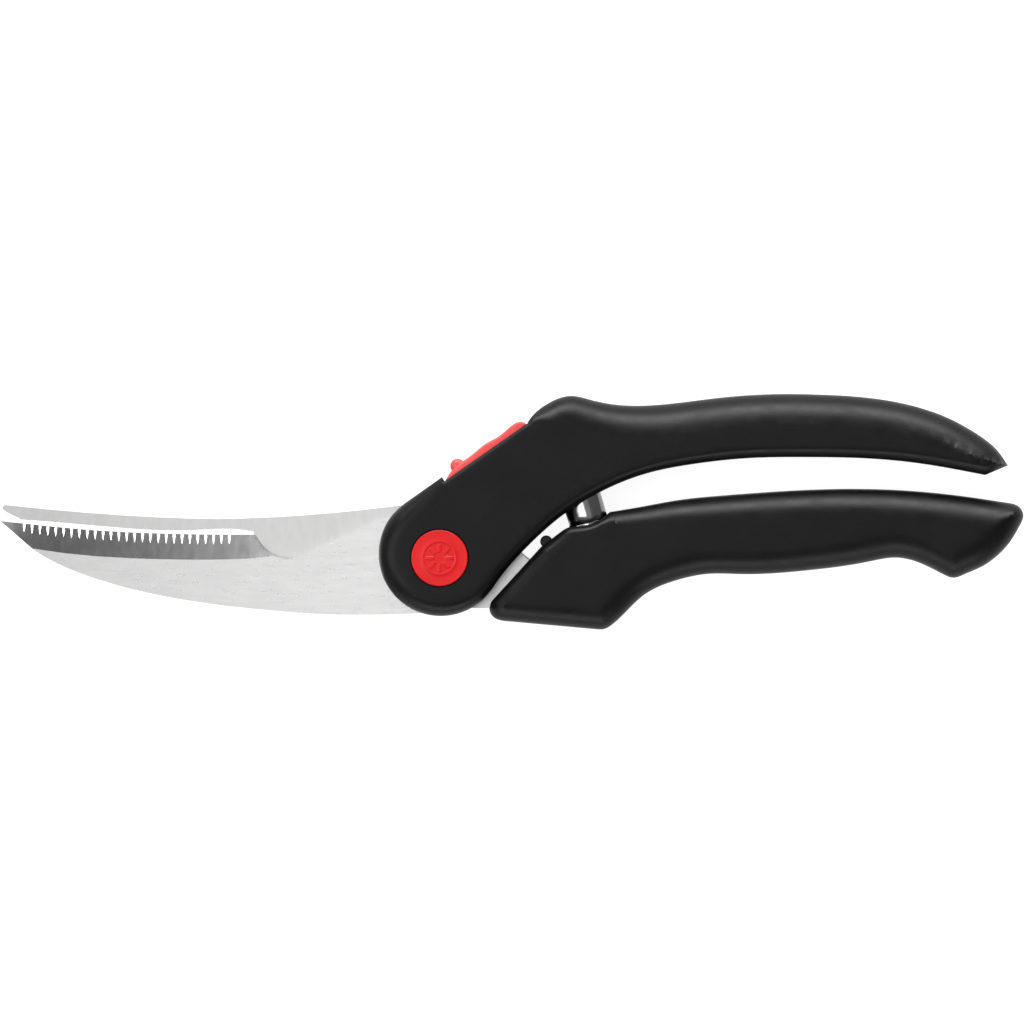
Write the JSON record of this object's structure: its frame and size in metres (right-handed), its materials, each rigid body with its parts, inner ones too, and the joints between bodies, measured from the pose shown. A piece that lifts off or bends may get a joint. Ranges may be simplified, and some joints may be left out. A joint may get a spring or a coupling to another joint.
{
  "type": "poultry shears",
  "caption": "Poultry shears with a serrated and a smooth curved blade, a bone notch, black moulded grips, a covered pivot, a volute opening spring and a red thumb lock.",
  "frame": {"origin": "on the pivot's axis, at the rear face that the shears lie on", "axes": "+X along the shears from the blade tips towards the grips, +Y towards the upper grip, +Z along the pivot's axis out of the front"},
  "size_m": [0.2501, 0.0577, 0.018],
  "materials": {
    "blade_steel": "fine brushed, ground bevel",
    "grip_plastic": "fine matte moulded grain",
    "red_plastic": "satin",
    "spring_steel": "polished strip",
    "fastener_steel": "turned",
    "bronze": "sintered",
    "buffer_rubber": "matte"
  },
  "bodies": {
    "upper_lever": {"lower_blade": "blade_steel", "upper_grip_front_shell": "grip_plastic", "upper_grip_rear_shell": "grip_plastic", "pivot_bolt": "fastener_steel", "bolt_head_washer": "fastener_steel", "spring_washer": "fastener_steel", "pivot_nut": "fastener_steel", "front_pivot_cap": "red_plastic", "upper_grip_screws": "fastener_steel", "upper_tang_dowels": "fastener_steel", "lock_detent_spring": "spring_steel", "upper_spring_seat": "fastener_steel"},
    "lower_lever": {"upper_blade": "blade_steel", "lower_grip_front_shell": "grip_plastic", "lower_grip_rear_shell": "grip_plastic", "pivot_bush": "bronze", "rear_pivot_cap": "red_plastic", "lower_grip_screws": "fastener_steel", "lower_tang_dowels": "fastener_steel", "stop_buffer": "buffer_rubber", "volute_spring": "spring_steel", "lower_spring_seat": "fastener_steel"},
    "lock": {"lock_slider": "red_plastic", "lock_hook": "fastener_steel", "lock_pin": "fastener_steel"}
  },
  "joints": [
    {"name": "pivot", "type": "hinge", "parent": "upper_lever", "child": "lower_lever", "pos_m": [0, 0, 0.009], "axis": [0, 0, -1], "range_deg": [-2, 25], "deforming": ["volute_spring"]},
    {"name": "lock_slide", "type": "slide", "parent": "upper_lever", "child": "lock", "axis": [0.8192, 0.5736, 0], "range_m": [0, 0.0035]}
  ]
}
